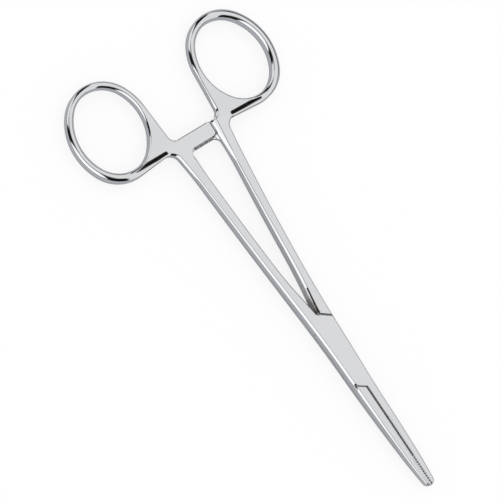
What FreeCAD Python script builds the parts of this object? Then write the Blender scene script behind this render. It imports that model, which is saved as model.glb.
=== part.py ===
import FreeCAD
import Part
import math
import os
from FreeCAD import Vector

# Straight hemostat forceps with a box lock, closed.
# Millimetres. The origin is on the pivot axis, at the underside of the box that the
# instrument lies on. +X runs to the jaw tips, +Y to the finger ring of the male half
# and +Z is up. The pieces are shaped about their mid-thickness and raised at the end.

# Finger rings
RING_X = -82.4                # ring centre along the instrument
RING_NEAR_Y = 11.0            # near side of the hole, out from the instrument's axis
RING_HOLE_LENGTH = 24.0
RING_HOLE_WIDTH = 19.5
RING_END_TIGHTER = 1.05       # the hole's ends have this much less radius than half its width
RING_WIRE_MALE = 2.42         # width of the ring seen from above
RING_WIRE_FEMALE = 2.28
RING_LEAD_MALE = -0.12        # how far the outer edge's centre lies ahead of the hole's
RING_LEAD_FEMALE = 0.24
RING_DRIFT_MALE = 0.25        # and how far out from it, away from the instrument's axis
RING_DRIFT_FEMALE = 0.08
RING_TURN_MALE = 5.7          # degrees that the ring's long axis splays out towards the jaws
RING_TURN_FEMALE = 7.2
RING_THICK = 2.9
RING_HOLE_BREAK = 0.7         # chamfer along both rims of the hole

# Webs that join the rings to the shanks
WEB_REAR_EDGE = 11.25         # from the ring centre to the web's edge on the ratchet side
WEB_REAR_Y = 7.95             # corner where that edge meets the ring
WEB_REAR_ROUND = 2.1
WEB_FRONT_EDGE = 13.4         # from the ring centre to the corner that faces the jaws
WEB_FRONT_Y = 9.05
WEB_FRONT_ROUND = 2.8
WEB_INNER_Y = 4.75            # inner face of the web, where the ratchet bar leaves it
WEB_INNER_ROUND = 1.1

# Shanks
SHANK_REAR = 8.2              # from the web's front corner to the end of the straight root
SHANK_REAR_Y = 6.32
SHANK_REAR_WIDTH = 3.15
SHANK_MIDDLE_Y = 4.84
SHANK_MIDDLE_WIDTH = 2.7
SHANK_FRONT_Y = 3.38
SHANK_FRONT_WIDTH = 2.4
SHANK_BOW = -0.5              # both shanks stray to -Y by this at their middle
HANDLE_THICK = 3.3

# Box lock
BOX_REAR = 11.5               # pivot to the crotch of the shanks
BOX_FRONT = 11.9              # pivot to the start of the jaw seam
BOX_REAR_HALF = 3.64          # half of the box's width at the crotch
BOX_MIDDLE_HALF = 3.12        # the same at the pivot
BOX_FRONT_HALF = 2.68         # and at the jaw seam
BOX_THICK = 5.0
CROTCH_ROUND = 0.3
STEP_RUN = 0.72               # run of the slanted steps along X for each mm across
WAIST_REAR_RUN = 1.3          # the same for the rear wall of the slot
WAIST_FRONT_RUN = 1.45        # the same for its front wall
WAIST_THICK = 2.2             # tongue of the male half, inside the box
LOCK_GAP = 0.06               # running gap all round the tongue and along the jaws

# Pivot pin
PIN_RADIUS = 1.25
PIN_CLEARANCE = 0.04          # radial, in the male half's bore

# Jaws
JAW_LENGTH = 43.5             # pivot to the tip
JAW_MIDDLE_HALF = 2.48        # half of both jaws' width, less than halfway to the tip
JAW_END_HALF = 2.1            # the same where the tips start to close in
TIP_ROUND = 1.56
TIP_THICK = 2.5
JAW_LEAN = 0.9                # the closed tips stray to +Y by this
TEETH_LENGTH = 22.0           # toothed stretch of the jaws, from the tip
TEETH_PITCH = 0.74
TEETH_DEPTH = 0.3

# Ratchet
BAR_WIDTH_FEMALE = 4.05
BAR_WIDTH_MALE = 4.75
BAR_REACH = 4.2               # how far each bar's end passes the axis
BAR_END_ROUND = 0.9
BAR_ROOT_ROUND = 2.2
BAR_ROOT_DEPTH = 2.3          # the bar's flat runs this far into the web
BAR_EDGE_BREAK = 0.25
BAR_GAP = 0.1                 # between the tooth tips of the two bars
CATCH_COUNT = 4
CATCH_PITCH = 1.6
CATCH_DEPTH = 0.45

# Edges and blends
EDGE_BREAK = 0.6              # chamfer along every rim, within 0.05 of a rounding of 0.9
BEND_SHARE = 0.42             # of the shorter run beside a gentle bend that the bend takes up
SWELL_RUN = 6.0               # the handle thins to the ring over this length
SWELL_BLEND = 50.0            # radius of that taper's blends, seen from the side
THICKNESS_BLEND = 250.0       # the same for the tapers to the box and the tips

# Worked out from the above
RING_Y = RING_NEAR_Y + RING_HOLE_WIDTH / 2
HALF_RING = RING_THICK / 2
HALF_HANDLE = HANDLE_THICK / 2
HALF_BOX = BOX_THICK / 2
WEB_REAR_X = RING_X + WEB_REAR_EDGE
WEB_FRONT_X = RING_X + WEB_FRONT_EDGE
SHANK_REAR_X = WEB_FRONT_X + SHANK_REAR
SHANK_RUN = -BOX_REAR - SHANK_REAR_X
SHANK_MIDDLE_X = SHANK_REAR_X + SHANK_RUN * 0.36
SHANK_FRONT_X = SHANK_REAR_X + SHANK_RUN * 0.74
JAW_MIDDLE_X = BOX_FRONT + (JAW_LENGTH - BOX_FRONT) * 0.4
JAW_END_X = JAW_LENGTH - (JAW_LENGTH - BOX_FRONT) * 0.25
RING_END_RADIUS = RING_HOLE_WIDTH / 2 - RING_END_TIGHTER
RING_END_OFFSET = RING_HOLE_LENGTH / 2 - RING_END_RADIUS
RING_SIDE_RADIUS = ((RING_END_OFFSET ** 2 + (RING_HOLE_WIDTH / 2) ** 2 - RING_END_RADIUS ** 2)
                    / (RING_HOLE_WIDTH - 2 * RING_END_RADIUS))
RING_SIDE_OFFSET = RING_SIDE_RADIUS - RING_HOLE_WIDTH / 2
FAR = 200.0                   # beyond any edge of the instrument


def unit(vector):
    """The vector at length one."""
    return vector.normalize()


def line(start, end):
    """A straight edge."""
    return Part.LineSegment(start, end).toShape()


def arc(centre, radius, start, end):
    """An arc about a centre, from one angle to another."""
    angles = (start, (start + end) / 2, end)
    return Part.Arc(*[on_circle(centre, radius, angle) for angle in angles]).toShape()


def on_circle(centre, radius, angle):
    """The point of a circle at an angle."""
    return centre + Vector(math.cos(angle), math.sin(angle), 0) * radius


def touch_angle(point, centre, radius, sense):
    """The angle at which a line from the point touches a circle, on either side."""
    away = point - centre
    return math.atan2(away.y, away.x) + sense * math.acos(radius / away.Length)


def rounded_corner(before, corner, after, radius):
    """The arc that rounds a corner, with its start and end; a gentle bend has no radius of its own."""
    back = before - corner
    ahead = after - corner
    half_angle = back.getAngle(ahead) / 2
    if radius is None:
        radius = BEND_SHARE * min(back.Length, ahead.Length) * math.tan(half_angle)
    reach = radius / math.tan(half_angle)
    back = unit(back)
    ahead = unit(ahead)
    centre = corner + unit(back + ahead) * (radius / math.sin(half_angle))
    middle = centre + unit(corner - centre) * radius
    start = corner + back * reach
    end = corner + ahead * reach
    return Part.Arc(start, middle, end).toShape(), start, end


def rounded_path(points, radii):
    """Straight runs through the points, with an arc at each inner one."""
    edges = []
    start = points[0]
    for index, radius in enumerate(radii, 1):
        bend, first, last = rounded_corner(points[index - 1], points[index], points[index + 1], radius)
        edges += [line(start, first), bend]
        start = last
    edges.append(line(start, points[-1]))
    return edges


def gentle_path(points, radii):
    """A rounded path whose bends past the given radii are gentle."""
    return rounded_path(points, radii + [None] * (len(points) - 2 - len(radii)))


def prism(edges, low, high):
    """A closed outline in the XY plane, drawn up from one height to another."""
    wire = Part.Wire(Part.__sortEdges__(edges))
    wire.translate(Vector(0, 0, low))
    return Part.Face(wire).extrude(Vector(0, 0, high - low))


def polygon(points):
    """The edges of a closed polygon."""
    return [line(points[i - 1], points[i]) for i in range(len(points))]


def drift(x):
    """How far the closed instrument's centreline strays from the X axis."""
    if x > BOX_FRONT:
        return JAW_LEAN * (x - BOX_FRONT) / (JAW_LENGTH - BOX_FRONT)
    if SHANK_REAR_X < x < 0:
        return SHANK_BOW * math.sin(math.pi * x / SHANK_REAR_X)
    return 0.0


def plan_point(x, y, side):
    """A point of one half's outline, on the side of the axis that the half is on."""
    return Vector(x, side * y + drift(x), 0)


def ring_arcs(turn_degrees, grow=0.0, lead=0.0, drift_out=0.0):
    """A ring's hole, grown and moved: the centre, radius and two angles of its four arcs."""
    turn = math.radians(turn_degrees)
    middle = Vector(RING_X + lead, RING_Y + drift_out, 0)
    along = Vector(math.cos(turn), math.sin(turn), 0) * RING_END_OFFSET
    across = Vector(-math.sin(turn), math.cos(turn), 0) * RING_SIDE_OFFSET
    switch = math.atan2(RING_SIDE_OFFSET, RING_END_OFFSET)
    switches = [turn - switch, turn + switch, turn + math.pi - switch, turn + math.pi + switch,
                turn + 2 * math.pi - switch]
    end = RING_END_RADIUS + grow
    side = RING_SIDE_RADIUS + grow
    return [(middle + along, end, switches[0], switches[1]),
            (middle - across, side, switches[1], switches[2]),
            (middle - along, end, switches[2], switches[3]),
            (middle + across, side, switches[3], switches[4])]


def ring_outline(turn_degrees, wire, lead, drift_out):
    """A ring's outer edge, from the line to the web's front corner round to its rear corner's."""
    front, far, rear, near = ring_arcs(turn_degrees, wire, lead, drift_out)
    first = touch_angle(Vector(WEB_FRONT_X, WEB_FRONT_Y, 0), front[0], front[1], 1)
    last = touch_angle(Vector(WEB_REAR_X, WEB_REAR_Y, 0), near[0], near[1], -1) + 2 * math.pi
    return [arc(front[0], front[1], first, front[3]), arc(*far), arc(*rear),
            arc(near[0], near[1], near[2], last)]


def mirrored(shape):
    """The shape on the other side of the instrument's axis."""
    return shape.mirror(Vector(0, 0, 0), Vector(0, 1, 0))


def shank_stations(edge):
    """Points along a shank's outer edge (1) or inner edge (-1)."""
    stations = [(SHANK_REAR_X, SHANK_REAR_Y, SHANK_REAR_WIDTH),
                (SHANK_MIDDLE_X, SHANK_MIDDLE_Y, SHANK_MIDDLE_WIDTH),
                (SHANK_FRONT_X, SHANK_FRONT_Y, SHANK_FRONT_WIDTH)]
    return [(x, y + edge * width / 2) for x, y, width in stations]


def run_out(points, centre, radius, side):
    """The points, and where a line from the last one touches the rounding ahead of it."""
    return points + [on_circle(centre, radius, touch_angle(points[-1], centre, radius, -side))]


def outer_points(start, tip, side):
    """One half's outer edge, from its ring past the web, shank, box and jaw to the tip's rounding."""
    stations = [(start.x, start.y), (WEB_FRONT_X, WEB_FRONT_Y)] + shank_stations(1)
    stations += [(-BOX_REAR, BOX_REAR_HALF), (0, BOX_MIDDLE_HALF), (BOX_FRONT, BOX_FRONT_HALF),
                 (JAW_MIDDLE_X, JAW_MIDDLE_HALF), (JAW_END_X, JAW_END_HALF)]
    return run_out([plan_point(x, y, side) for x, y in stations], tip, TIP_ROUND, side)


def inner_points(start, crotch, side):
    """One half's inner edge, from its ring past the web and shank to the crotch's rounding."""
    stations = [(start.x, start.y), (WEB_REAR_X, WEB_REAR_Y), (WEB_REAR_X, WEB_INNER_Y)]
    stations += shank_stations(-1)
    return run_out([plan_point(x, y, side) for x, y in stations], crotch, CROTCH_ROUND, side)


def closed_plan():
    """The outline of the closed instrument, without its ratchet bars."""
    tip = plan_point(JAW_LENGTH - TIP_ROUND, 0, 1)
    crotch = plan_point(-BOX_REAR - CROTCH_ROUND, 0, 1)
    male_ring = ring_outline(RING_TURN_MALE, RING_WIRE_MALE, RING_LEAD_MALE, RING_DRIFT_MALE)
    female_ring = ring_outline(RING_TURN_FEMALE, RING_WIRE_FEMALE, RING_LEAD_FEMALE, RING_DRIFT_FEMALE)
    edges = male_ring + [mirrored(edge) for edge in female_ring]
    outer = []
    inner = []
    for ring, side in ((male_ring, 1), (female_ring, -1)):
        outer.append(outer_points(ring[0].valueAt(ring[0].FirstParameter), tip, side))
        inner.append(inner_points(ring[-1].valueAt(ring[-1].LastParameter), crotch, side))
        edges += gentle_path(outer[-1], [WEB_FRONT_ROUND])
        edges += gentle_path(inner[-1], [WEB_REAR_ROUND, WEB_INNER_ROUND])
    tip_round = Part.Arc(outer[0][-1], tip + Vector(TIP_ROUND, 0, 0), outer[1][-1]).toShape()
    crotch_round = Part.Arc(inner[0][-1], crotch + Vector(CROTCH_ROUND, 0, 0), inner[1][-1]).toShape()
    return edges + [tip_round, crotch_round]


def side_profile():
    """The instrument's thickness along X, drawn across its whole width."""
    stations = [(-FAR, HALF_RING), (WEB_REAR_X - SWELL_RUN, HALF_RING), (WEB_REAR_X, HALF_HANDLE),
                (SHANK_REAR_X, HALF_HANDLE), (-BOX_REAR, HALF_BOX), (BOX_FRONT, HALF_BOX),
                (JAW_LENGTH, TIP_THICK / 2)]
    top = [Vector(x, 0, half) for x, half in stations]
    radii = [SWELL_BLEND, SWELL_BLEND, THICKNESS_BLEND, THICKNESS_BLEND / 2, THICKNESS_BLEND / 2]
    upper = rounded_path(top, radii)
    lower = [edge.mirror(Vector(0, 0, 0), Vector(0, 0, 1)) for edge in upper]
    ends = [line(Vector(p.x, 0, -p.z), p) for p in (top[0], top[-1])]
    wire = Part.Wire(Part.__sortEdges__(upper + lower + ends))
    wire.translate(Vector(0, -FAR, 0))
    return Part.Face(wire).extrude(Vector(0, 2 * FAR, 0))


def is_rim(shape, edge):
    """True where a flat face and a side wall meet."""
    middle = edge.valueAt((edge.FirstParameter + edge.LastParameter) / 2)
    tilts = []
    for face in shape.ancestorsOfType(edge, Part.Face):
        u, v = face.Surface.parameter(middle)
        tilts.append(abs(face.normalAt(u, v).z))
    return min(tilts) < 0.1 and max(tilts) > 0.9


def rims(shape):
    """The edges along a shape's flat faces."""
    return [edge for edge in shape.Edges if is_rim(shape, edge)]


def ring_hole(turn_degrees):
    """What the hole of the male half's ring takes away, at the ring's turn."""
    edges = [arc(*span) for span in ring_arcs(turn_degrees)]
    return prism(edges, -2 * BOX_THICK, 2 * BOX_THICK)


def forged_blank():
    """The closed instrument in one piece, without its ratchet bars, chamfered along its rims."""
    blank = prism(closed_plan(), -2 * BOX_THICK, 2 * BOX_THICK).common(side_profile())
    blank = blank.makeChamfer(EDGE_BREAK, rims(blank))
    blank = blank.cut(ring_hole(RING_TURN_MALE)).cut(mirrored(ring_hole(RING_TURN_FEMALE)))
    return blank.makeChamfer(RING_HOLE_BREAK, rims(blank))


def grown(points, gap):
    """A polygon that runs counter-clockwise, with every side moved outwards by the gap."""
    moved = []
    for index, here in enumerate(points):
        before = unit(here - points[index - 1])
        after = unit(points[(index + 1) % len(points)] - here)
        out_before = Vector(before.y, -before.x, 0)
        out_after = Vector(after.y, -after.x, 0)
        moved.append(here + (out_before + out_after) * (gap / (1 + out_before.dot(out_after))))
    return moved


def seam_points():
    """The meeting line of the jaws from the tips back to the box, with its teeth."""
    start = JAW_LENGTH - TEETH_LENGTH
    count = int(TEETH_LENGTH / TEETH_PITCH)
    points = [Vector(FAR, drift(JAW_LENGTH), 0), Vector(JAW_LENGTH, drift(JAW_LENGTH), 0)]
    for index in range(count, 0, -1):
        crest = start + (index - 0.25) * TEETH_PITCH
        root = start + (index - 0.75) * TEETH_PITCH
        points.append(Vector(crest, drift(crest) + TEETH_DEPTH / 2, 0))
        points.append(Vector(root, drift(root) - TEETH_DEPTH / 2, 0))
    points.append(Vector(start, drift(start), 0))
    return points


def male_space(gap):
    """The room that the male half fills in the closed instrument, with a gap all round it."""
    out = 2 * BOX_REAR_HALF
    crotch = plan_point(-BOX_REAR, 0, 1)
    seam = Vector(BOX_FRONT, 0, 0)
    rear_step = crotch + Vector(STEP_RUN, 1, 0) * out
    front_step = seam - Vector(STEP_RUN, 1, 0) * out
    rear_wall = crotch + Vector(WAIST_REAR_RUN, -1, 0) * out
    front_wall = seam + Vector(-WAIST_FRONT_RUN, 1, 0) * out
    shank = [crotch, rear_step, Vector(rear_step.x, FAR, 0), Vector(-FAR, FAR, 0), Vector(-FAR, crotch.y, 0)]
    jaw = [front_step, Vector(front_step.x, -FAR, 0), Vector(FAR, -FAR, 0)] + seam_points() + [seam]
    tongue = [crotch, rear_wall, front_step, seam, front_wall, rear_step]
    high = 2 * BOX_THICK
    half_tongue = WAIST_THICK / 2 + gap
    space = prism(polygon(grown(shank, gap)), -high, high)
    space = space.fuse(prism(polygon(grown(jaw, gap)), -high, high))
    return space.fuse(prism(polygon(grown(tongue, gap)), -half_tongue, half_tongue))


def ratchet_bar(width):
    """The male half's ratchet bar: the lower half of the handle's thickness, toothed on top."""
    rear = WEB_REAR_X
    front = rear + width
    root = WEB_INNER_Y + BAR_ROOT_DEPTH
    inside = Vector(front + 2 * BAR_ROOT_ROUND, WEB_INNER_Y + EDGE_BREAK, 0)
    corners = [Vector(inside.x, root, 0), inside, Vector(front, WEB_INNER_Y, 0),
               Vector(front, -BAR_REACH, 0), Vector(rear, -BAR_REACH, 0),
               Vector(rear, root - EDGE_BREAK, 0), Vector(rear + EDGE_BREAK, root, 0)]
    edges = rounded_path(corners[1:6], [BAR_ROOT_ROUND, BAR_END_ROUND, BAR_END_ROUND])
    edges += [line(corners[5], corners[6]), line(corners[6], corners[0]), line(corners[0], corners[1])]
    bar = prism(edges, -HALF_HANDLE, -BAR_GAP / 2)
    low_edges = [edge for edge in bar.Edges if edge.BoundBox.ZMax < BAR_EDGE_BREAK - HALF_HANDLE]
    bar = bar.makeChamfer(BAR_EDGE_BREAK, low_edges)
    return bar.cut(Part.makeCompound([catch(index) for index in range(CATCH_COUNT)]))


def catch(index):
    """The gap in front of one ratchet tooth: a steep face and a long ramp, cut across the bar."""
    start = (index - CATCH_COUNT / 2) * CATCH_PITCH
    top = -BAR_GAP / 2
    end = start + CATCH_PITCH * 0.95
    corners = [Vector(0, start, top), Vector(0, start, top - CATCH_DEPTH), Vector(0, end, top)]
    face = Part.Face(Part.Wire(polygon(corners)))
    face.translate(Vector(WEB_REAR_X - BAR_WIDTH_MALE, 0, 0))
    return face.extrude(Vector(3 * BAR_WIDTH_MALE, 0, 0))


def pin_shape(clearance, overrun=0.0):
    """The pivot pin, or with a clearance the bore that it turns in."""
    half = HALF_BOX + overrun
    return Part.makeCylinder(PIN_RADIUS + clearance, 2 * half, Vector(0, 0, -half))


def female_half(blank):
    """The half with the box: -Y ring and shank, box cheeks and roots, +Y jaw, upper ratchet bar."""
    bar = ratchet_bar(BAR_WIDTH_FEMALE)
    bar.rotate(Vector(0, 0, 0), Vector(1, 0, 0), 180)
    half = blank.cut(male_space(LOCK_GAP)).fuse(bar)
    return half.cut(pin_shape(0.0, HALF_BOX)).removeSplitter()


def male_half(blank):
    """The half with the tongue: +Y ring and shank, tongue, -Y jaw, lower ratchet bar."""
    half = blank.common(male_space(0.0)).fuse(ratchet_bar(BAR_WIDTH_MALE))
    return half.cut(pin_shape(PIN_CLEARANCE, HALF_BOX)).removeSplitter()


def main():
    """Write each piece to its own file."""
    os.makedirs("parts", exist_ok=True)
    blank = forged_blank()
    pieces = {"female_half": female_half(blank), "male_half": male_half(blank), "pivot_pin": pin_shape(0.0)}
    for name, piece in pieces.items():
        piece.translate(Vector(0, 0, HALF_BOX))
        print(name, "valid", piece.isValid(), "solids", len(piece.Solids), "volume", round(piece.Volume, 2))
        piece.exportStep(f"parts/{name}.step")


if __name__ == "__main__":
    main()
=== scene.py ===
"""Looks of the hemostat forceps: polished steel, a white studio and the photograph's camera."""

import logging
import math
from dataclasses import dataclass
from enum import Enum
import bpy
from mathutils import Matrix, Vector

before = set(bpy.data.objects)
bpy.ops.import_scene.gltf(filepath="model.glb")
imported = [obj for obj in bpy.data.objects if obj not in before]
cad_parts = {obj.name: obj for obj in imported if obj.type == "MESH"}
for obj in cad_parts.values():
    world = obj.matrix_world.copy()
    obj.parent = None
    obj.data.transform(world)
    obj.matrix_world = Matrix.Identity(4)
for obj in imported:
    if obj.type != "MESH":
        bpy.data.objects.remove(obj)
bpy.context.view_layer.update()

LOG = logging.getLogger("forceps")
MM = 0.001
WHITE = (1.0, 1.0, 1.0, 1.0)
LEVEL = (1.0, 1.0, 0.0)

# Polish: waves in a metre, octaves and the share of each finer octave.
NOISE_MEAN = 0.5
LINE_OCTAVES, LINE_GRIT = 3.0, 0.6
CLOUD_SCALE, CLOUD_OCTAVES = 260.0, 2.0

# Dark brown deposit with painted shade in the crotch: waves in a metre, octaves, and how the noise
# turns into patches.
PATCH_SCALE, PATCH_OCTAVES = 700.0, 3.0
PATCH_STEP = (0.35, 0.65, 0.55, 1.0)

# Broken lines: where a dash ends and its gap is full, in parts of the pitch.
DASH_STEP = (0.15, 0.35)

# Rings: where the rod turns into the web, and how far from its middle the rod's shading ends,
# in parts of half its width.
WEB_TURN_STEP = (0.45, 0.8)
WEB_SIDE_STEP = (-0.75, -0.1)
ROD_EDGE, ROD_END = 1.6, 2.2


class Lay(Enum):
    """The way in which the buffing lines run over a piece."""

    ALONG = (0.06, 1.0, 0.35)
    ROUND = (0.7, 0.7, 0.7)


class Socket(Enum):
    """Kinds of socket that the shared effects have."""

    VALUE = "NodeSocketFloat"
    VECTOR = "NodeSocketVector"
    COLOUR = "NodeSocketColor"


class Nodes:
    """A node tree that is filled one node at a time."""

    def __init__(self, tree: bpy.types.NodeTree) -> None:
        """Keeps the tree.

        Args:
            tree: The tree to fill.
        """
        self.tree = tree

    def add(self, kind: str, values: dict | None = None, **settings: object) -> bpy.types.Node:
        """Adds a node.

        Args:
            kind: Blender's name for the node's type.
            values: What each input takes, by its name or number: a plain value or an output.
            settings: The node's own properties.

        Returns:
            The new node.
        """
        node = self.tree.nodes.new(kind)
        for name, value in settings.items():
            setattr(node, name, value)
        for name, value in (values or {}).items():
            if isinstance(value, bpy.types.NodeSocket):
                self.tree.links.new(value, node.inputs[name])
            else:
                node.inputs[name].default_value = value
        return node

    def place(self, output: str = "Object") -> bpy.types.NodeSocket:
        """Gives the point of the piece that is shaded, or another texture coordinate."""
        return self.add("ShaderNodeTexCoord").outputs[output]

    def parts(self, vector: object) -> bpy.types.bpy_prop_collection:
        """Splits a vector into its X, Y and Z."""
        return self.add("ShaderNodeSeparateXYZ", {0: vector}).outputs

    def math(self, operation: str, *terms: object) -> bpy.types.NodeSocket:
        """Adds a Math node.

        Args:
            operation: The node's operation.
            terms: Its inputs in order.

        Returns:
            The result's socket.
        """
        values = dict(enumerate(terms))
        return self.add("ShaderNodeMath", values, operation=operation).outputs[0]

    def held(self, value: object, low: float, high: float) -> bpy.types.NodeSocket:
        """Keeps a value between two limits."""
        return self.math("MINIMUM", self.math("MAXIMUM", value, low), high)

    def vector(
        self, operation: str, *terms: object, output: str = "Vector"
    ) -> bpy.types.NodeSocket:
        """Adds a Vector Math node.

        Args:
            operation: The node's operation.
            terms: Its inputs in order.
            output: The result that is wanted, Vector or Value.

        Returns:
            The result's socket.
        """
        values = dict(enumerate(terms))
        return self.add("ShaderNodeVectorMath", values, operation=operation).outputs[output]

    def scaled(self, vector: object, amount: object) -> bpy.types.NodeSocket:
        """Makes a vector longer or shorter."""
        values = {0: vector, "Scale": amount}
        return self.add("ShaderNodeVectorMath", values, operation="SCALE").outputs[0]

    def turned(self, vector: object, angle: object, axis: str = "Z") -> bpy.types.NodeSocket:
        """Turns a vector about an axis by an angle in radians."""
        values = {"Vector": vector, "Angle": angle}
        kind = f"{axis}_AXIS"
        return self.add("ShaderNodeVectorRotate", values, rotation_type=kind).outputs[0]

    def ramp(
        self,
        value: object,
        low: object,
        high: object,
        start: float = 0.0,
        end: float = 1.0,
        shape: str = "SMOOTHSTEP",
    ) -> bpy.types.NodeSocket:
        """Adds a step between two values.

        Args:
            value: What is mapped.
            low: Where the step starts.
            high: Where it ends.
            start: What it gives up to low.
            end: What it gives from high on.
            shape: SMOOTHSTEP or LINEAR.

        Returns:
            The result's socket.
        """
        values = {"Value": value, "From Min": low, "From Max": high, "To Min": start, "To Max": end}
        return self.add("ShaderNodeMapRange", values, interpolation_type=shape).outputs[0]

    def noise(
        self, place: object, scale: object, octaves: float, grit: float = 0.5
    ) -> bpy.types.NodeSocket:
        """Adds a noise.

        Args:
            place: The point that it is read at.
            scale: Waves in a metre.
            octaves: Its octaves.
            grit: Share of each finer octave.

        Returns:
            The value's socket, about 0.5 in the mean.
        """
        values = {"Vector": place, "Scale": scale, "Detail": octaves, "Roughness": grit}
        return self.add("ShaderNodeTexNoise", values).outputs[0]

    def blend(
        self, share: object, first: object, second: object, operation: str = "MIX"
    ) -> bpy.types.NodeSocket:
        """Adds a colour mix.

        Args:
            share: How much of the second is taken.
            first: The first colour.
            second: The second colour.
            operation: How they are mixed.

        Returns:
            The colour's socket.
        """
        values = {0: share, 6: first, 7: second}
        node = self.add("ShaderNodeMix", values, data_type="RGBA", blend_type=operation)
        return node.outputs[2]


class Effect:
    """A shader node group that several materials use, made once."""

    made: dict[str, bpy.types.NodeTree] = {}

    def __init__(
        self,
        name: str,
        inputs: dict[str, tuple[Socket, object]],
        outputs: dict[str, Socket],
    ) -> None:
        """Makes an empty group with its sockets.

        Args:
            name: The group's name.
            inputs: Kind and usual value of each input.
            outputs: Kind of each output.
        """
        self.tree = bpy.data.node_groups.new(name, "ShaderNodeTree")
        sockets = self.tree.interface
        for label, (kind, usual) in inputs.items():
            socket = sockets.new_socket(label, in_out="INPUT", socket_type=kind.value)
            socket.default_value = usual
        for label, kind in outputs.items():
            sockets.new_socket(label, in_out="OUTPUT", socket_type=kind.value)
        self.nodes = Nodes(self.tree)
        self.given = self.nodes.add("NodeGroupInput").outputs
        Effect.made[name] = self.tree

    def give(self, **results: bpy.types.NodeSocket) -> None:
        """Links the group's outputs.

        Args:
            results: Each output's socket, by its name.
        """
        self.nodes.add("NodeGroupOutput", results)

    @staticmethod
    def placed(name: str, nodes: Nodes, values: dict) -> bpy.types.bpy_prop_collection:
        """Places a finished group among a material's nodes.

        Args:
            name: The group's name.
            nodes: The material's nodes.
            values: What each input takes.

        Returns:
            The placed group's outputs.
        """
        return nodes.add("ShaderNodeGroup", values, node_tree=Effect.made[name]).outputs


def make_buffing() -> None:
    """Builds the effect of fine buffing lines: an uneven roughness and the lines' height."""
    effect = Effect(
        "buffing",
        {
            "Lay": (Socket.VECTOR, Lay.ALONG.value),
            "Fineness": (Socket.VALUE, 9000.0),
            "Roughness": (Socket.VALUE, 0.1),
            "Spread": (Socket.VALUE, 0.05),
        },
        {"Roughness": Socket.VALUE, "Height": Socket.VALUE},
    )
    n, given = effect.nodes, effect.given
    place = n.place()
    drawn = n.vector("MULTIPLY", place, given["Lay"])
    lines = n.noise(drawn, given["Fineness"], LINE_OCTAVES, LINE_GRIT)
    cloud = n.noise(place, CLOUD_SCALE, CLOUD_OCTAVES)
    fine, slow = (n.math("SUBTRACT", wave, NOISE_MEAN) for wave in (lines, cloud))
    uneven = n.math("ADD", fine, slow)
    rough = n.math("MULTIPLY_ADD", uneven, given["Spread"], given["Roughness"])
    effect.give(Roughness=rough, Height=lines)


def make_residue_and_shade() -> None:
    """Builds the effect of a dark brown cleaning deposit with painted shade: a tint that gathers in
    patches.
    """
    effect = Effect(
        "residue_and_shade",
        {
            "Steel": (Socket.COLOUR, (0.8, 0.8, 0.8, 1.0)),
            "Residue And Shade": (Socket.COLOUR, (0.5, 0.45, 0.4, 1.0)),
            "Mask": (Socket.VALUE, 0.0),
        },
        {"Colour": Socket.COLOUR, "Patches": Socket.VALUE},
    )
    n, given = effect.nodes, effect.given
    patches = n.ramp(n.noise(n.place(), PATCH_SCALE, PATCH_OCTAVES), *PATCH_STEP)
    share = n.math("MULTIPLY", patches, given["Mask"])
    effect.give(Colour=n.blend(share, given["Steel"], given["Residue And Shade"]), Patches=share)


def make_zone() -> None:
    """Builds the effect that marks a box-shaped zone of the instrument, with soft sides."""
    effect = Effect(
        "zone",
        {
            "Centre": (Socket.VECTOR, (0.0, 0.0, 0.0)),
            "Half": (Socket.VECTOR, (0.001, 0.001, 0.001)),
            "Softness": (Socket.VALUE, 0.0005),
        },
        {"Mask": Socket.VALUE},
    )
    n, given = effect.nodes, effect.given
    away = n.vector("ABSOLUTE", n.vector("SUBTRACT", n.place(), given["Centre"]))
    outside = n.vector("MAXIMUM", n.vector("SUBTRACT", away, given["Half"]), (0.0, 0.0, 0.0))
    distance = n.vector("LENGTH", outside, output="Value")
    effect.give(Mask=n.ramp(distance, 0.0, given["Softness"], 1.0, 0.0, shape="LINEAR"))


def make_crease() -> None:
    """Builds the effect that marks a straight band across the instrument, whole or dashed."""
    effect = Effect(
        "crease",
        {
            "Start": (Socket.VECTOR, (0.0, 0.0, 0.0)),
            "Run": (Socket.VECTOR, (0.001, 0.0, 0.0)),
            "Width": (Socket.VALUE, 0.0002),
            "Softness": (Socket.VALUE, 0.0001),
            "Pitch": (Socket.VALUE, 0.001),
            "Breaks": (Socket.VALUE, 0.0),
        },
        {"Mask": Socket.VALUE},
    )
    n, given = effect.nodes, effect.given
    away = n.vector("SUBTRACT", n.vector("MULTIPLY", n.place(), LEVEL), given["Start"])
    square = n.vector("DOT_PRODUCT", given["Run"], given["Run"], output="Value")
    reach = n.vector("DOT_PRODUCT", away, given["Run"], output="Value")
    nearest = n.scaled(given["Run"], n.held(n.math("DIVIDE", reach, square), 0.0, 1.0))
    distance = n.vector("LENGTH", n.vector("SUBTRACT", away, nearest), output="Value")
    half = n.math("MULTIPLY", given["Width"], 0.5)
    end = n.math("ADD", half, given["Softness"])
    band = n.ramp(distance, half, end, 1.0, 0.0, shape="LINEAR")
    along = n.math("DIVIDE", n.parts(away)["X"], given["Pitch"])
    gap = n.ramp(n.math("PINGPONG", along, 0.5), *DASH_STEP)
    kept = n.math("SUBTRACT", 1.0, n.math("MULTIPLY", gap, given["Breaks"]))
    effect.give(Mask=n.math("MULTIPLY", band, kept))


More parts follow.
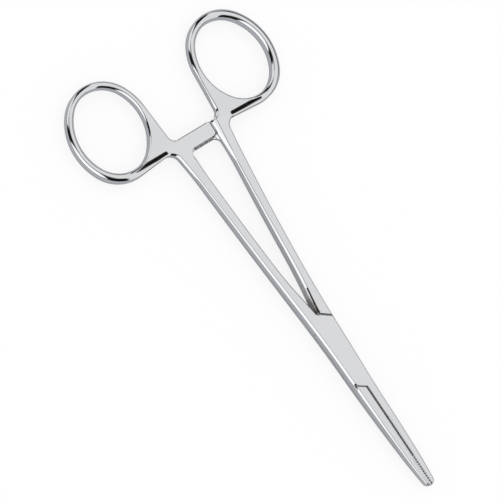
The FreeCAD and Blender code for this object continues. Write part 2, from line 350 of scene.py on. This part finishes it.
def make_section() -> None:
    """Builds the effect that shades walls as the barrel-shaped sides of a forging."""
    effect = Effect(
        "section",
        {
            "Normal": (Socket.VECTOR, (0.0, 0.0, 1.0)),
            "Middle": (Socket.VALUE, 0.0025),
            "Half": (Socket.VALUE, 0.00165),
            "Lean": (Socket.VALUE, 0.5),
        },
        {"Normal": Socket.VECTOR},
    )
    n, given = effect.nodes, effect.given
    above = n.math("SUBTRACT", n.parts(n.place())["Z"], given["Middle"])
    height = n.held(n.math("DIVIDE", above, given["Half"]), -1.0, 1.0)
    upright = n.math("ABSOLUTE", n.parts(given["Normal"])["Z"])
    wall = n.math("SUBTRACT", 1.0, upright)
    lift = n.math("MULTIPLY", n.math("MULTIPLY", height, given["Lean"]), wall)
    upwards = n.add("ShaderNodeCombineXYZ", {"Z": lift}).outputs[0]
    leaned = n.vector("ADD", given["Normal"], upwards)
    effect.give(Normal=n.vector("NORMALIZE", leaned))


def make_ring_section() -> None:
    """Builds the effect that shades a finger ring as an oval rod that flattens into the web."""
    effect = Effect(
        "ring_section",
        {
            "Normal": (Socket.VECTOR, (0.0, 0.0, 1.0)),
            "Centre": (Socket.VECTOR, (0.0, 0.0, 0.0)),
            "Turn": (Socket.VALUE, 0.0),
            "Half Length": (Socket.VALUE, 0.0132),
            "Half Width": (Socket.VALUE, 0.011),
            "Wire": (Socket.VALUE, 0.0012),
            "Thick": (Socket.VALUE, 0.00145),
            "Web Way": (Socket.VECTOR, (0.7, -0.7, 0.0)),
        },
        {"Normal": Socket.VECTOR},
    )
    n, given = effect.nodes, effect.given
    offset = n.vector("SUBTRACT", n.place(), given["Centre"])
    parts = n.parts(n.turned(offset, n.math("MULTIPLY", given["Turn"], -1.0)))

    # Distance from the ring's middle line, in parts of the rod's half width.
    along = n.math("DIVIDE", parts["X"], given["Half Length"])
    across = n.math("DIVIDE", parts["Y"], given["Half Width"])
    steep_x = n.math("DIVIDE", along, given["Half Length"])
    steep_y = n.math("DIVIDE", across, given["Half Width"])
    round_way = n.add("ShaderNodeCombineXYZ", {"X": steep_x, "Y": steep_y}).outputs[0]
    slope = n.math("MULTIPLY", n.vector("LENGTH", round_way, output="Value"), 2.0)
    squares = (n.math("MULTIPLY", share, share) for share in (along, across))
    level = n.math("SUBTRACT", n.math("ADD", *squares), 1.0)
    beside = n.math("DIVIDE", n.math("DIVIDE", level, slope), given["Wire"])

    # The rod's own normal there.
    outwards = n.turned(n.vector("NORMALIZE", round_way), given["Turn"])
    side = n.math("DIVIDE", n.held(beside, -1.0, 1.0), given["Wire"])
    height = n.math("DIVIDE", parts["Z"], given["Thick"])
    rise = n.math("DIVIDE", height, given["Thick"])
    upwards = n.add("ShaderNodeCombineXYZ", {"Z": rise}).outputs[0]
    oval = n.vector("NORMALIZE", n.vector("ADD", n.scaled(outwards, side), upwards))

    # It holds near the rod, apart from the web.
    flat_offset = n.vector("NORMALIZE", n.vector("MULTIPLY", offset, LEVEL))
    towards_web = n.vector("DOT_PRODUCT", flat_offset, given["Web Way"], output="Value")
    turn = n.ramp(towards_web, *WEB_TURN_STEP)
    web = n.math("MULTIPLY", turn, n.ramp(beside, *WEB_SIDE_STEP))
    inner = n.ramp(beside, -ROD_END, -ROD_EDGE)
    outer = n.ramp(beside, ROD_EDGE, ROD_END, 1.0, 0.0)
    near = n.math("MULTIPLY", inner, outer)
    share = n.math("MULTIPLY", near, n.math("SUBTRACT", 1.0, web))
    values = {0: share, 4: given["Normal"], 5: oval}
    mixed = n.add("ShaderNodeMix", values, data_type="VECTOR").outputs[1]
    effect.give(Normal=n.vector("NORMALIZE", mixed))


@dataclass(frozen=True)
class Crease:
    """A straight band across the instrument, in millimetres: a seam's painted shade line or a
    rolled edge.
    """

    start: tuple[float, float]
    end: tuple[float, float]
    width: float
    softness: float
    pitch: float = 1.0
    breaks: float = 0.0

    def mask(self, nodes: Nodes) -> bpy.types.NodeSocket:
        """Places the band's mask in a material.

        Args:
            nodes: The material's nodes.

        Returns:
            The mask's socket.
        """
        (x0, y0), (x1, y1) = self.start, self.end
        values = {
            "Start": (x0 * MM, y0 * MM, 0.0),
            "Run": ((x1 - x0) * MM, (y1 - y0) * MM, 0.0),
            "Width": self.width * MM,
            "Softness": self.softness * MM,
            "Pitch": self.pitch * MM,
            "Breaks": self.breaks,
        }
        return Effect.placed("crease", nodes, values)["Mask"]


@dataclass(frozen=True)
class Roll:
    """A flat that polishing has rolled over towards its edge."""

    band: Crease
    way: tuple[float, float]


@dataclass(frozen=True)
class Ring:
    """A finger ring's rod, in millimetres and degrees."""

    centre: tuple[float, float, float]
    turn: float
    half_length: float
    half_width: float
    wire: float
    thick: float
    web_way: tuple[float, float, float]

    def normal(self, nodes: Nodes, given: bpy.types.NodeSocket) -> bpy.types.NodeSocket:
        """Places the rod's shading in a material.

        Args:
            nodes: The material's nodes.
            given: The normal that it starts from.

        Returns:
            The new normal's socket.
        """
        values = {
            "Normal": given,
            "Centre": [c * MM for c in self.centre],
            "Turn": math.radians(self.turn),
            "Half Length": self.half_length * MM,
            "Half Width": self.half_width * MM,
            "Wire": self.wire * MM,
            "Thick": self.thick * MM,
            "Web Way": Vector(self.web_way).normalized(),
        }
        return Effect.placed("ring_section", nodes, values)["Normal"]


@dataclass(frozen=True)
class Zone:
    """A box-shaped place on the instrument, in millimetres."""

    centre: tuple[float, float, float]
    half: tuple[float, float, float]
    softness: float

    def mask(self, nodes: Nodes) -> bpy.types.NodeSocket:
        """Places the zone's mask in a material.

        Args:
            nodes: The material's nodes.

        Returns:
            The mask's socket.
        """
        values = {
            "Centre": [c * MM for c in self.centre],
            "Half": [h * MM for h in self.half],
            "Softness": self.softness * MM,
        }
        return Effect.placed("zone", nodes, values)["Mask"]


@dataclass(frozen=True)
class SteelFinish:
    """A finish of stainless steel; each grit and satin is roughness that is added."""

    name: str
    colour: tuple[float, float, float]
    roughness: float
    spread: float
    lay: Lay
    fineness: float
    line_depth: float
    residue_and_shade_zones: tuple[Zone, ...] = ()
    residue_and_shade_colour: tuple[float, float, float] = (0.24, 0.2, 0.175)
    residue_and_shade_grit: float = 0.25
    satin_zones: tuple[Zone, ...] = ()
    satin: float = 0.22
    ground_satin: float = 0.22
    ground_step: tuple[float, float] = (0.985, 0.999)
    gap_shade_lines: tuple[Crease, ...] = ()
    # Near black of the painted shade lines in the gaps.
    gap_shade_colour: tuple[float, float, float] = (0.02, 0.018, 0.016)
    gap_shade_grit: float = 0.4
    gap_shade_step: tuple[float, float] = (0.05, 0.3)
    rings: tuple[Ring, ...] = ()
    rolls: tuple[Roll, ...] = ()
    webs: tuple[Zone, ...] = ()
    lean: float = 0.82
    web_lean: float = 0.7

    def material(self) -> bpy.types.Material:
        """Builds the finish.

        Returns:
            The new material.
        """
        material = bpy.data.materials.new(self.name)
        material.use_nodes = True
        n = Nodes(material.node_tree)
        shader = material.node_tree.nodes["Principled BSDF"].inputs
        shader["Metallic"].default_value = 1.0
        shader["Base Color"].default_value = (*self.colour, 1.0)
        buffing = Effect.placed(
            "buffing",
            n,
            {
                "Lay": self.lay.value,
                "Fineness": self.fineness,
                "Roughness": self.roughness,
                "Spread": self.spread,
            },
        )
        forged = self.forged_normal(n)
        upright = n.math("ABSOLUTE", n.parts(forged)["Z"])
        ground = n.ramp(upright, *self.ground_step)
        rough = n.math("MULTIPLY_ADD", ground, self.ground_satin, buffing["Roughness"])
        colour, rough = self.marks(n, rough)
        if isinstance(colour, bpy.types.NodeSocket):
            n.tree.links.new(colour, shader["Base Color"])
        n.tree.links.new(rough, shader["Roughness"])
        world = n.add(
            "ShaderNodeVectorTransform",
            {"Vector": forged},
            vector_type="NORMAL",
            convert_from="OBJECT",
            convert_to="WORLD",
        )
        lines = {
            "Distance": self.line_depth * MM,
            "Strength": 1.0,
            "Height": buffing["Height"],
            "Normal": world.outputs[0],
        }
        n.tree.links.new(n.add("ShaderNodeBump", lines).outputs["Normal"], shader["Normal"])
        return material

    def marks(self, nodes: Nodes, rough: bpy.types.NodeSocket) -> tuple[object, object]:
        """Adds the satin zones, the brown deposit with painted shade, and the painted shade lines
        in the gaps that the finish has.

        Args:
            nodes: The material's nodes.
            rough: The roughness without them.

        Returns:
            The colour, as a plain one where nothing marks it, and the roughness.
        """
        colour = (*self.colour, 1.0)
        if self.satin_zones:
            satin = self.together(nodes, self.satin_zones)
            rough = nodes.math("MULTIPLY_ADD", satin, self.satin, rough)
        # Dark brown deposit and painted shade in the crotch, tinted into the colour.
        if self.residue_and_shade_zones:
            values = {
                "Mask": self.together(nodes, self.residue_and_shade_zones),
                "Steel": colour,
                "Residue And Shade": (*self.residue_and_shade_colour, 1.0),
            }
            residue_and_shade = Effect.placed("residue_and_shade", nodes, values)
            rough = nodes.math("MULTIPLY_ADD", residue_and_shade["Patches"], self.residue_and_shade_grit, rough)
            colour = residue_and_shade["Colour"]
        # Painted shade: near-black lines along the gaps between the halves, on level faces only.
        if self.gap_shade_lines:
            facing = nodes.math("ABSOLUTE", nodes.parts(nodes.place("Normal"))["Z"])
            upper = nodes.ramp(facing, *self.gap_shade_step)
            gap_shade = nodes.math("MULTIPLY", self.together(nodes, self.gap_shade_lines), upper)
            rough = nodes.math("MULTIPLY_ADD", gap_shade, self.gap_shade_grit, rough)
            colour = nodes.blend(gap_shade, colour, (*self.gap_shade_colour, 1.0))
        return colour, rough

    def forged_normal(self, nodes: Nodes) -> bpy.types.NodeSocket:
        """Shades the walls and rings with the roundness of a forging.

        Args:
            nodes: The material's nodes.

        Returns:
            The normal's socket, in the piece's own axes.
        """
        plain = nodes.place("Normal")
        for roll in self.rolls:
            tilt = nodes.scaled((*roll.way, 0.0), roll.band.mask(nodes))
            plain = nodes.vector("NORMALIZE", nodes.vector("ADD", plain, tilt))
        lean = self.lean
        if self.webs:
            lean = nodes.math("MULTIPLY_ADD", self.together(nodes, self.webs), self.web_lean, lean)
        normal = Effect.placed("section", nodes, {"Normal": plain, "Lean": lean})["Normal"]
        for ring in self.rings:
            normal = ring.normal(nodes, normal)
        return normal

    @staticmethod
    def together(nodes: Nodes, marks: tuple[Zone | Crease, ...]) -> bpy.types.NodeSocket:
        """Joins the masks of several zones or creases.

        Args:
            nodes: The material's nodes.
            marks: The zones or creases, at least one.

        Returns:
            A socket that is 1 in any of them.
        """
        joined, *others = (mark.mask(nodes) for mark in marks)
        for mask in others:
            joined = nodes.math("MAXIMUM", joined, mask)
        return joined


@dataclass
class RoundedRims:
    """Shades the chamfered rims of a forging as the roundings that they stand for."""

    steepest: float = 0.88
    flattest: float = 0.45

    def tree(self) -> bpy.types.NodeTree:
        """Builds the modifier's nodes: each rim point takes the normal of the face it meets.

        Returns:
            The node tree.
        """
        tree = bpy.data.node_groups.new("rounded_rims", "GeometryNodeTree")
        for way in ("INPUT", "OUTPUT"):
            kind = "NodeSocketGeometry"
            tree.interface.new_socket("Geometry", in_out=way, socket_type=kind)
        n = Nodes(tree)
        given = n.add("NodeGroupInput").outputs[0]
        normal = n.add("GeometryNodeInputNormal").outputs
        lean = n.math("ABSOLUTE", n.parts(normal["True Normal"])["Z"])
        below = n.math("LESS_THAN", lean, self.steepest)
        above = n.math("GREATER_THAN", lean, self.flattest)
        chosen = {"Geometry": given, "Selection": n.math("MULTIPLY", below, above)}
        split = n.add("GeometryNodeSeparateGeometry", chosen, domain="FACE").outputs
        rest, rim = split["Inverted"], split["Selection"]
        nearest = n.add("GeometryNodeSampleNearest", {"Geometry": rest}, domain="POINT")
        met = n.add("GeometryNodeSampleIndex", data_type="FLOAT_VECTOR", domain="POINT")
        tree.links.new(rest, met.inputs["Geometry"])
        tree.links.new(normal["Normal"], met.inputs["Value"])
        tree.links.new(nearest.outputs["Index"], met.inputs["Index"])
        shaded = n.add("GeometryNodeSetMeshNormal", mode="FREE", domain="POINT")
        tree.links.new(rim, shaded.inputs["Mesh"])
        tree.links.new(met.outputs[0], shaded.inputs["Custom Normal"])
        joined = n.add("GeometryNodeJoinGeometry")
        tree.links.new(rest, joined.inputs[0])
        tree.links.new(shaded.outputs[0], joined.inputs[0])
        n.add("NodeGroupOutput", {0: joined.outputs[0]})
        return tree

    def on(self, piece: bpy.types.Object) -> None:
        """Puts the rims on a piece as a modifier."""
        tree = bpy.data.node_groups.get("rounded_rims") or self.tree()
        piece.modifiers.new("rounded_rims", "NODES").node_group = tree


@dataclass
class ForgedHalf:
    """One half of the forceps: ring, web, shank, ratchet bar, its part of the lock and a jaw."""

    node: str
    finish: SteelFinish
    rims: RoundedRims

    def build(self) -> bpy.types.Object:
        """Dresses the half.

        Returns:
            The half's object.
        """
        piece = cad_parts[self.node]
        piece.material_slots[0].material = self.finish.material()
        self.rims.on(piece)
        return piece


@dataclass
class PivotPin:
    """The pin of the box lock, ground flush with both cheeks."""

    node: str
    finish: SteelFinish

    def build(self) -> bpy.types.Object:
        """Dresses the pin.

        Returns:
            The pin's object.
        """
        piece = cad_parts[self.node]
        piece.material_slots[0].material = self.finish.material()
        return piece


@dataclass
class Card:
    """A card round the table, seen only in reflections. Angles in degrees."""

    azimuth: float
    elevation: float
    half_width: float
    half_height: float
    softness: float
    level: float

    def over(
        self, nodes: Nodes, way: bpy.types.NodeSocket, behind: bpy.types.NodeSocket
    ) -> bpy.types.NodeSocket:
        """Lays the card over what is behind it.

        Args:
            nodes: The world's nodes.
            way: The direction that is looked at.
            behind: The light level behind the card.

        Returns:
            The light level with the card.
        """
        turned = nodes.turned(way, math.radians(-self.azimuth))
        parts = nodes.parts(nodes.turned(turned, math.radians(self.elevation), "Y"))
        across = nodes.math("ABSOLUTE", nodes.math("ARCTAN2", parts["Y"], parts["X"]))
        up = nodes.math("ABSOLUTE", nodes.math("ARCSINE", parts["Z"]))
        wide = self.side(nodes, across, self.half_width)
        high = self.side(nodes, up, self.half_height)
        share = nodes.math("MULTIPLY", wide, high)
        change = nodes.math("SUBTRACT", self.level, behind)
        return nodes.math("MULTIPLY_ADD", share, change, behind)

    def side(self, nodes: Nodes, angle: bpy.types.NodeSocket, half: float) -> bpy.types.NodeSocket:
        """Marks what lies within half a side of the card's middle, with a soft edge.

        Args:
            nodes: The world's nodes.
            angle: The angle from the card's middle, in radians.
            half: Half the side.

        Returns:
            The mask's socket.
        """
        edge, reach = math.radians(self.softness), math.radians(half)
        return nodes.ramp(angle, reach - edge, reach + edge, 1.0, 0.0)


@dataclass
class Studio:
    """White table and soft light all round, with cards that the polished steel mirrors."""

    cards: tuple[Card, ...]
    floor_radius: float = 1.5
    zenith: float = 0.76
    horizon: float = 0.85
    sky_step: tuple[float, float] = (0.0, 0.9)
    # Grey-blue seen by all but camera rays: painted shade for the floor's shadow in reflections.
    floor_shade_colour: tuple[float, float, float] = (0.31, 0.325, 0.36)
    speckle_scale: float = 900.0
    speckle_octaves: float = 2.0
    speckle_step: tuple[float, float, float, float] = (0.3, 0.7, 0.99, 1.0)
    camera_white: float = 0.8
    mirror_white: float = 0.2

    def build(self) -> bpy.types.Object:
        """Builds the world and the table.

        Returns:
            The table's object.
        """
        self.build_world()
        return self.build_table()

    def build_world(self) -> None:
        """Builds the light all round: plain white, with sky and cards in reflections alone."""
        world = bpy.data.worlds.new("studio")
        bpy.context.scene.world = world
        world.use_nodes = True
        n = Nodes(world.node_tree)
        way = n.place("Generated")
        seen = n.ramp(n.parts(way)["Z"], *self.sky_step, self.horizon, self.zenith)
        for card in self.cards:
            seen = card.over(n, way, seen)
        rays = n.add("ShaderNodeLightPath").outputs
        change = n.math("SUBTRACT", seen, 1.0)
        light = n.math("ADD", n.math("MULTIPLY", rays["Is Glossy Ray"], change), 1.0)
        background = world.node_tree.nodes["Background"]
        n.tree.links.new(light, background.inputs["Color"])

    def build_table(self) -> bpy.types.Object:
        """Builds the white table top.

        Returns:
            The table's object.
        """
        mesh = bpy.data.meshes.new("table")
        ways = ((-1, -1), (1, -1), (1, 1), (-1, 1))
        corners = [(x * self.floor_radius, y * self.floor_radius, 0.0) for x, y in ways]
        mesh.from_pydata(corners, [], [(0, 1, 2, 3)])
        table = bpy.data.objects.new("table", mesh)
        bpy.context.scene.collection.objects.link(table)
        table.data.materials.append(self.table_material())
        return table

    def table_material(self) -> bpy.types.Material:
        """Builds the table: near white to the camera, with its shadows; to mirrors mostly a lit
        grey-blue, painted shade for the floor's shadow beside the instrument.

        Returns:
            The material.
        """
        material = bpy.data.materials.new("table_white")
        material.use_nodes = True
        n = Nodes(material.node_tree)
        n.tree.nodes.remove(n.tree.nodes["Principled BSDF"])
        waves = n.noise(n.place(), self.speckle_scale, self.speckle_octaves)
        speckle = n.ramp(waves, *self.speckle_step)
        rays = n.add("ShaderNodeLightPath").outputs
        # Painted shade: the floor is grey-blue to mirrors and white to the camera.
        colour = n.blend(1.0, (*self.floor_shade_colour, 1.0), speckle, "MULTIPLY")
        colour = n.blend(rays["Is Camera Ray"], colour, WHITE)
        lit = n.add("ShaderNodeBsdfDiffuse", {"Color": colour}).outputs[0]
        white = n.add("ShaderNodeEmission", {"Color": WHITE, "Strength": 1.0}).outputs[0]
        mirrored = n.math("ADD", rays["Is Glossy Ray"], rays["Is Transmission Ray"])
        share = n.math("MULTIPLY", mirrored, self.mirror_white)
        share = n.math("MULTIPLY_ADD", rays["Is Camera Ray"], self.camera_white, share)
        mixed = n.add("ShaderNodeMixShader", {0: share, 1: lit, 2: white}).outputs[0]
        n.tree.links.new(mixed, n.tree.nodes["Material Output"].inputs["Surface"])
        return material


@dataclass
class PhotographCamera:
    """The photograph's camera, which looks down steeply. Millimetres and degrees."""

    azimuth: float = -85.7553
    elevation: float = 67.5382
    roll: float = 52.9006
    aim: tuple[float, float, float] = (-35.8441, -5.7018, 2.5)
    distance: float = 646.2999
    lens: float = 173.44
    sensor: float = 36.0
    nearest: float = 10.0

    def build(self) -> bpy.types.Object:
        """Builds the camera and makes it the scene's.

        Returns:
            The camera's object.
        """
        az, el, roll = (math.radians(a) for a in (self.azimuth, self.elevation, self.roll))
        flat = math.cos(el)
        back = Vector((flat * math.cos(az), flat * math.sin(az), math.sin(el)))
        level = Vector((0.0, 0.0, 1.0)).cross(back).normalized()
        top = back.cross(level)
        right = level * math.cos(roll) + top * math.sin(roll)
        up = top * math.cos(roll) - level * math.sin(roll)
        data = bpy.data.cameras.new("camera")
        data.lens = self.lens
        data.sensor_width = self.sensor
        data.clip_start = self.nearest * MM
        camera = bpy.data.objects.new("camera", data)
        bpy.context.scene.collection.objects.link(camera)
        place = Vector(self.aim) * MM + back * self.distance * MM
        facing = Matrix((right, up, back)).transposed().to_4x4()
        camera.matrix_world = Matrix.Translation(place) @ facing
        bpy.context.scene.camera = camera
        return camera


# The crotch behind the box, tinted with a dark brown deposit and painted shade.
CROTCH = Zone(centre=(-14.0, 0.1, 2.5), half=(2.2, 0.2, 3.0), softness=0.5)
JAW_TEETH = Zone(centre=(33.0, 0.5, 2.5), half=(11.5, 0.5, 3.0), softness=0.2)
CATCHES = Zone(centre=(-70.0, 0.0, 2.5), half=(3.0, 4.6, 0.9), softness=0.6)
WEBS = Zone(centre=(-68.0, 0.0, 2.5), half=(6.0, 20.0, 3.0), softness=4.0)

# Painted shade: near-black lines in the gaps at the rear and front step of the box, along the jaws,
# at the crotch, and at the end of the upper ratchet bar.
GAP_SHADE_LINES = (
    Crease((-11.5, -0.28), (-8.95, 3.3), width=0.46, softness=0.1),
    Crease((11.9, 0.0), (9.95, -2.7), width=0.3, softness=0.1),
    Crease((11.9, 0.0), (22.0, 0.29), width=0.5, softness=0.1),
    Crease((22.0, 0.29), (34.0, 0.63), width=0.4, softness=0.1),
    Crease((34.0, 0.63), (43.0, 0.89), width=0.34, softness=0.14, pitch=0.74, breaks=0.75),
    Crease((-18.9, 1.28), (-11.6, 0.2), width=0.22, softness=0.12),
    Crease((-70.7, 4.4), (-67.5, 4.35), width=0.5, softness=0.15),
    Crease((-67.5, 4.35), (-66.9, 3.4), width=0.3, softness=0.15),
)

# The male half's step beside the ratchet bar, and the webs' edges towards the jaws.
ROLLS = (
    Roll(Crease((-71.4, 5.6), (-58.5, 4.0), width=1.3, softness=0.5), way=(0.0, -0.8)),
    Roll(Crease((-69.7, -24.0), (-69.6, -11.4), width=0.3, softness=0.8), way=(0.7, -0.5)),
    Roll(Crease((-69.5, 20.8), (-69.8, 11.4), width=0.3, softness=0.8), way=(0.7, -0.5)),
)

RINGS = (
    Ring(
        centre=(-82.46, 20.87, 2.5),
        turn=5.7,
        half_length=13.2,
        half_width=10.95,
        wire=1.22,
        thick=1.45,
        web_way=(1.0, -0.95, 0.0),
    ),
    Ring(
        centre=(-82.28, -20.79, 2.5),
        turn=-7.2,
        half_length=13.14,
        half_width=10.89,
        wire=1.15,
        thick=1.45,
        web_way=(1.0, 0.95, 0.0),
    ),
)

POLISHED = SteelFinish(
    name="polished_steel",
    colour=(0.89, 0.895, 0.91),
    roughness=0.06,
    spread=0.04,
    lay=Lay.ALONG,
    fineness=9000.0,
    line_depth=0.0003,
    residue_and_shade_zones=(CROTCH,),
    satin_zones=(JAW_TEETH, CATCHES),
    gap_shade_lines=GAP_SHADE_LINES,
    rings=RINGS,
    rolls=ROLLS,
    webs=(WEBS,),
)

PIN = SteelFinish(
    name="pin_steel",
    colour=(0.88, 0.89, 0.91),
    roughness=0.08,
    spread=0.04,
    lay=Lay.ROUND,
    fineness=7000.0,
    line_depth=0.0003,
)

# Azimuth, elevation, half width, half height, softness of the edge, and light level. The white
# one is in front; the last two are above the camera and all round the horizon.
CARDS = (
    Card(-86.0, 28.0, 38.0, 26.0, softness=6.0, level=1.1),
    Card(85.0, 4.0, 60.0, 12.0, softness=6.0, level=0.05),
    Card(-124.0, 25.0, 11.0, 42.0, softness=3.0, level=0.005),
    Card(-20.0, 22.0, 20.0, 42.0, softness=3.0, level=0.005),
    Card(163.0, 22.0, 13.0, 38.0, softness=3.0, level=0.005),
    Card(-86.0, 78.0, 35.0, 8.0, softness=3.0, level=0.12),
    Card(0.0, 0.0, 200.0, 7.0, softness=3.0, level=0.05),
)


def main() -> None:
    """Builds the camera, the studio and the finishes in order."""
    logging.basicConfig(level=logging.INFO, format="%(name)s: %(message)s")
    bpy.context.scene.view_settings.view_transform = "Standard"
    for make in (
        make_buffing,
        make_residue_and_shade,
        make_zone,
        make_crease,
        make_section,
        make_ring_section,
    ):
        make()
    rims = RoundedRims()
    makers = (
        PhotographCamera(),
        Studio(CARDS),
        ForgedHalf("female_half", POLISHED, rims),
        ForgedHalf("male_half", POLISHED, rims),
        PivotPin("pivot_pin", PIN),
    )
    for maker in makers:
        made = maker.build()
        LOG.info("%s: %s", type(maker).__name__, made.name)


if __name__ == "__main__":
    main()
